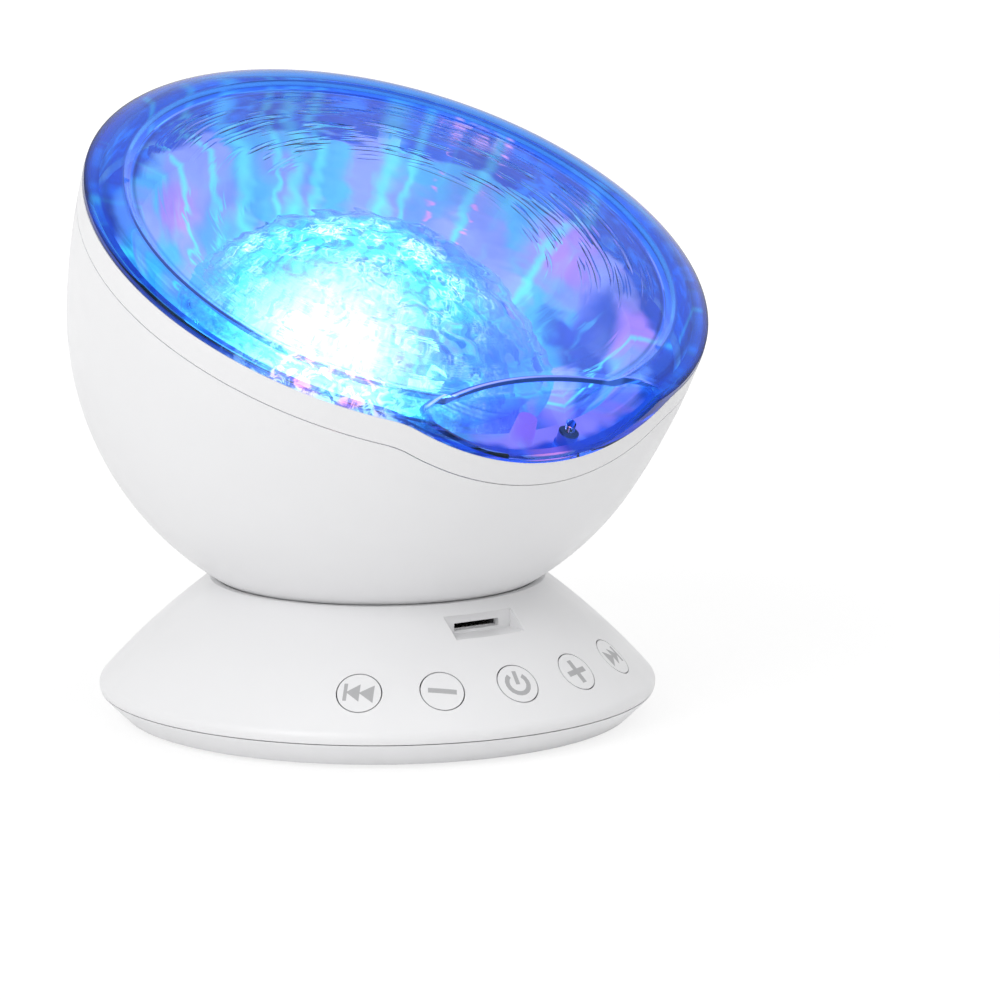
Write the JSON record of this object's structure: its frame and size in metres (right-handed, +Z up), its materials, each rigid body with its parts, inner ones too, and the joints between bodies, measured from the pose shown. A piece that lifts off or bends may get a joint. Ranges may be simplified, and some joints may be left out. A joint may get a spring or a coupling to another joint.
{
  "type": "ocean wave projector",
  "caption": "Night light projector: a tilted round bowl with a clear blue rippled lens on a flared round base with flush push buttons and a card slot.",
  "frame": {"origin": "centre of the base pan's flat underside; the rubber feet reach 0.8 mm below it", "axes": "+Z up, -Y towards the front with the buttons, +X to the right seen from the front"},
  "size_m": [0.1458, 0.1405, 0.1445],
  "materials": {
    "white_plastic": "satin white moulded plastic",
    "pan_plastic": "satin white moulded plastic",
    "button_plastic": "satin white with grey printed symbols",
    "foot_rubber": "matt rubber",
    "steel": "zinc plated steel",
    "socket_metal": "stamped steel",
    "circuit_board": "green solder mask",
    "snap_brass": "stamped brass",
    "speaker_metal": "black painted steel",
    "speaker_paper": "black paper cone",
    "magnet": "ferrite magnet",
    "blue_lens": "clear blue plastic with moulded ripples",
    "tray_plastic": "white reflector plastic",
    "dark_window": "dark window",
    "light_board": "white solder mask",
    "light_chip": "light chip",
    "gear_plastic": "acetal plastic",
    "ripple_clear": "clear plastic with moulded ripples",
    "motor_metal": "pressed steel can"
  },
  "bodies": {
    "projector": {"base_shell": "white_plastic", "base_pan": "pan_plastic", "rubber_feet": "foot_rubber", "pan_screws": "steel", "neck_screws": "steel", "switch_strip": "circuit_board", "snap_domes": "snap_brass", "main_board": "circuit_board", "power_inlet": "socket_metal", "card_board": "circuit_board", "card_socket": "socket_metal", "speaker_frame": "speaker_metal", "speaker_cone": "speaker_paper", "speaker_magnet": "magnet", "bowl_shell": "white_plastic", "rim_band": "white_plastic", "lens_cover": "blue_lens", "light_tray": "tray_plastic", "tray_screws": "steel", "receiver": "dark_window", "light_board": "light_board", "light_chips": "light_chip", "centre_pillar": "gear_plastic", "pillar_cap": "steel", "drive_motor": "motor_metal", "motor_screws": "steel"},
    "ripple_rotor": {"turntable_gear": "gear_plastic", "ripple_dome": "ripple_clear"},
    "pinion": {"drive_pinion": "gear_plastic"},
    "previous_key": {"previous_button": "button_plastic"},
    "volume_down_key": {"volume_down_button": "button_plastic"},
    "power_key": {"power_button": "button_plastic"},
    "volume_up_key": {"volume_up_button": "button_plastic"},
    "next_key": {"next_button": "button_plastic"}
  },
  "joints": [
    {"name": "ripple_turn", "type": "hinge", "parent": "projector", "child": "ripple_rotor", "pos_m": [0, 0, 0.09131], "axis": [0, -0.4756, 0.8796], "continuous": true},
    {"name": "pinion_turn", "type": "hinge", "parent": "projector", "child": "pinion", "pos_m": [0, 0.03576, 0.11065], "axis": [0, -0.4756, 0.8796], "continuous": true},
    {"name": "previous_press", "type": "slide", "parent": "projector", "child": "previous_key", "axis": [0.4254, 0.5621, -0.7093], "range_m": [0, 0.0006], "stiffness_N_per_m": 1500},
    {"name": "volume_down_press", "type": "slide", "parent": "projector", "child": "volume_down_key", "axis": [0.2244, 0.6683, -0.7093], "range_m": [0, 0.0006], "stiffness_N_per_m": 1500},
    {"name": "power_press", "type": "slide", "parent": "projector", "child": "power_key", "axis": [0, 0.7049, -0.7093], "range_m": [0, 0.0006], "stiffness_N_per_m": 1500},
    {"name": "volume_up_press", "type": "slide", "parent": "projector", "child": "volume_up_key", "axis": [-0.2244, 0.6683, -0.7093], "range_m": [0, 0.0006], "stiffness_N_per_m": 1500},
    {"name": "next_press", "type": "slide", "parent": "projector", "child": "next_key", "axis": [-0.4254, 0.5621, -0.7093], "range_m": [0, 0.0006], "stiffness_N_per_m": 1500}
  ],
  "couplings": [
    {"joint": "pinion_turn", "follows": "ripple_turn", "ratio": -4.4}
  ]
}
